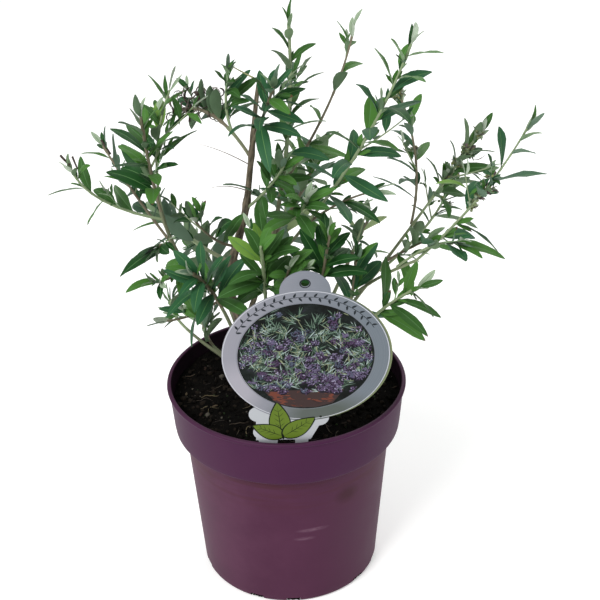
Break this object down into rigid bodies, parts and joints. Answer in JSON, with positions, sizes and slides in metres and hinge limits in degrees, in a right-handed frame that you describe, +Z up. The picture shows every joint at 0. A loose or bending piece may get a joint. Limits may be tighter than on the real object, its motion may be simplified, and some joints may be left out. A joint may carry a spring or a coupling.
{
  "type": "potted butterfly bush",
  "caption": "Young butterfly bush with narrow leaves on thin arching shoots, in a round purple nursery pot with a round picture tag.",
  "frame": {"origin": "centre of the flat pad under the pot", "axes": "+Z up, the picture tag faces -Y, +X to the right of the tag as seen from the front"},
  "size_m": [0.3139, 0.245, 0.4241],
  "materials": {
    "pot_plastic": "matt moulded plastic with a faint dusty sheen",
    "potting_soil": "dark, coarse and matt",
    "tag_plastic": "smooth printed sheet",
    "bark": "fine flaking bark",
    "foliage": "matt leaf, paler under"
  },
  "bodies": {
    "root": {"bough_centre": "bark", "bough_fork_left": "bark", "bough_front_centre": "bark", "bough_front_left": "bark", "bough_front_right": "bark", "bough_left": "bark", "bough_low_left": "bark", "bough_low_rear": "bark", "bough_rear_centre": "bark", "bough_rear_far_left": "bark", "bough_rear_left": "bark", "bough_rear_right": "bark", "bough_right": "bark", "bough_right_low": "bark", "bough_right_tall": "bark", "bough_young": "bark", "foliage_centre": "foliage", "foliage_centre_low": "foliage", "foliage_centre_right": "foliage", "foliage_fork_high": "foliage", "foliage_fork_left": "foliage", "foliage_front_centre": "foliage", "foliage_front_left": "foliage", "foliage_front_right": "foliage", "foliage_left": "foliage", "foliage_left_back": "foliage", "foliage_left_high": "foliage", "foliage_left_inner": "foliage", "foliage_left_low": "foliage", "foliage_left_side": "foliage", "foliage_left_under": "foliage", "foliage_low_centre": "foliage", "foliage_low_left": "foliage", "foliage_low_rear": "foliage", "foliage_low_right": "foliage", "foliage_middle": "foliage", "foliage_middle_front": "foliage", "foliage_rear_centre": "foliage", "foliage_rear_far_left": "foliage", "foliage_rear_left": "foliage", "foliage_rear_right": "foliage", "foliage_right": "foliage", "foliage_right_back": "foliage", "foliage_right_far": "foliage", "foliage_right_inner": "foliage", "foliage_right_mid": "foliage", "foliage_right_tall": "foliage", "foliage_right_under": "foliage", "foliage_right_up": "foliage", "foliage_trunk_low": "foliage", "foliage_trunk_mid": "foliage", "foliage_trunk_top": "foliage", "foliage_young": "foliage", "pot": "pot_plastic", "soil": "potting_soil", "tag": "tag_plastic", "trunk": "bark"}
  },
  "joints": []
}
